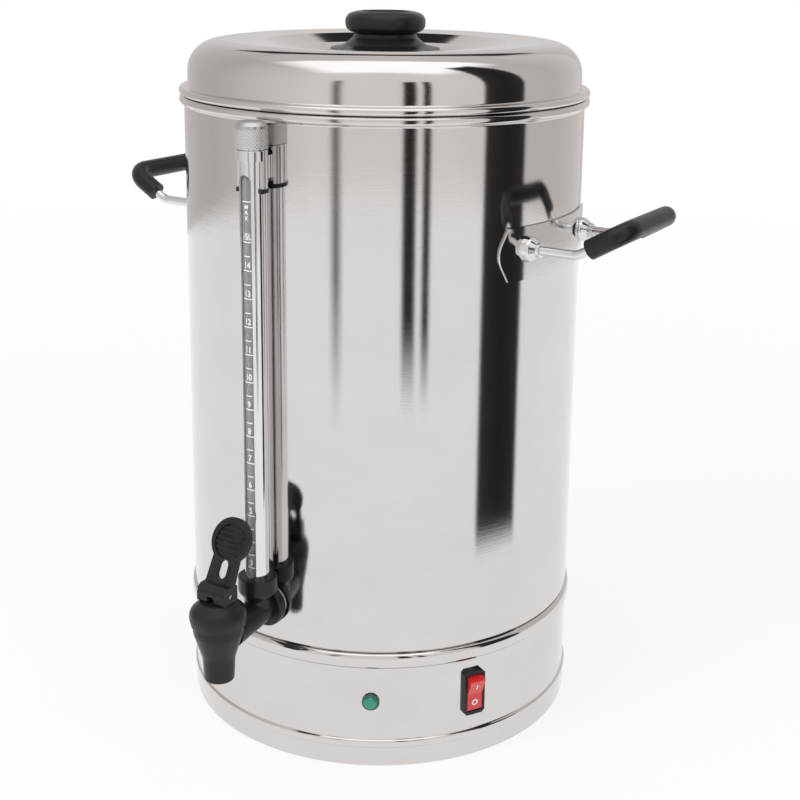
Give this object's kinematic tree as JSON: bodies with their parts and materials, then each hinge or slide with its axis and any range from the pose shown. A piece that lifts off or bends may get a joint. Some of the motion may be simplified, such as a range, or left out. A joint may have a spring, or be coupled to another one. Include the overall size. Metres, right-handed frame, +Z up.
{
  "type": "hot water urn",
  "caption": "Polished cylindrical hot water urn with a lift-off lid, side carrying handles, a slotted level gauge and a lever tap.",
  "frame": {"origin": "on the urn's axis, level with the surface that it stands on", "axes": "+Z up along the tank, -Y towards the tap, handles on +X and -X"},
  "size_m": [0.403, 0.345, 0.4798],
  "materials": {
    "mirror_steel": "mirror polished stainless steel",
    "bright_steel": "bright plated metal",
    "satin_steel": "satin stainless sheet",
    "zinc_steel": "bright zinc plated steel",
    "black_plastic": "glossy black heat resistant plastic",
    "valve_plastic": "dark moulded plastic",
    "inlet_plastic": "matt black plastic",
    "silicone": "soft off white silicone",
    "foot_rubber": "matt black rubber",
    "clear_glass": "clear glass tube",
    "red_plastic": "glossy red plastic with white marks",
    "green_lens": "glossy green tinted lens",
    "pin_brass": "plated brass blades",
    "cast_aluminium": "as cast aluminium",
    "control_plastic": "brown thermoset plastic"
  },
  "bodies": {
    "urn": {"base_screws": "zinc_steel", "base_shell": "mirror_steel", "bottom_plate": "satin_steel", "clamp_bar": "satin_steel", "clamp_nut": "zinc_steel", "earth_nut": "zinc_steel", "earth_stud": "zinc_steel", "gauge_clip": "black_plastic", "gauge_collar": "bright_steel", "gauge_glass": "clear_glass", "gauge_lower_seal": "silicone", "gauge_nut": "zinc_steel", "gauge_shield": "bright_steel", "gauge_upper_seal": "silicone", "heating_plate": "cast_aluminium", "inlet_housing": "inlet_plastic", "inlet_pins": "pin_brass", "inlet_screws": "zinc_steel", "left_handle_bosses": "bright_steel", "left_handle_grip": "black_plastic", "left_handle_plate": "satin_steel", "left_handle_rod": "bright_steel", "pilot_body": "black_plastic", "pilot_lens": "green_lens", "pilot_nut": "black_plastic", "right_handle_bosses": "bright_steel", "right_handle_grip": "black_plastic", "right_handle_plate": "satin_steel", "right_handle_rod": "bright_steel", "rubber_feet": "foot_rubber", "switch_housing": "black_plastic", "tank": "mirror_steel", "tap_body": "black_plastic", "tap_bonnet": "black_plastic", "tap_gasket_inner": "silicone", "tap_gasket_outer": "silicone", "tap_lock_nut": "black_plastic", "terminal_block": "inlet_plastic", "thermal_cutout": "control_plastic", "thermostat": "control_plastic", "valve_spring": "zinc_steel"},
    "lid": {"lid": "mirror_steel", "lid_knob": "black_plastic", "knob_washer": "zinc_steel", "knob_screw": "zinc_steel"},
    "tap_valve": {"valve_stem": "valve_plastic", "valve_seat_cup": "silicone"},
    "tap_lever": {"tap_lever": "black_plastic", "lever_pin": "zinc_steel"},
    "rocker": {"switch_rocker": "red_plastic"},
    "gauge_cap": {"gauge_cap": "bright_steel"}
  },
  "joints": [
    {"name": "lid_lift", "type": "slide", "parent": "urn", "child": "lid", "axis": [0, 0, 1], "range_m": [0, 0.12]},
    {"name": "valve_lift", "type": "slide", "parent": "urn", "child": "tap_valve", "axis": [0, 0, 1], "range_m": [0, 0.0044], "deforming": ["valve_spring"]},
    {"name": "tap_lever_tilt", "type": "hinge", "parent": "tap_valve", "child": "tap_lever", "pos_m": [0, -0.188, 0.1347], "axis": [1, 0, 0], "range_deg": [0, 45], "stiffness_Nm_per_rad": 0.05, "springref_deg": -22.92},
    {"name": "rocker_tilt", "type": "hinge", "parent": "urn", "child": "rocker", "pos_m": [0.11683, -0.06882, 0.047], "axis": [-0.5075, -0.8616, 0], "range_deg": [0, 24]},
    {"name": "gauge_cap_turn", "type": "hinge", "parent": "urn", "child": "gauge_cap", "pos_m": [0, -0.1475, 0.4155], "axis": [0, 0, 1], "continuous": true}
  ],
  "couplings": [
    {"joint": "valve_lift", "follows": "tap_lever_tilt", "m_per_rad": 0.0054}
  ]
}
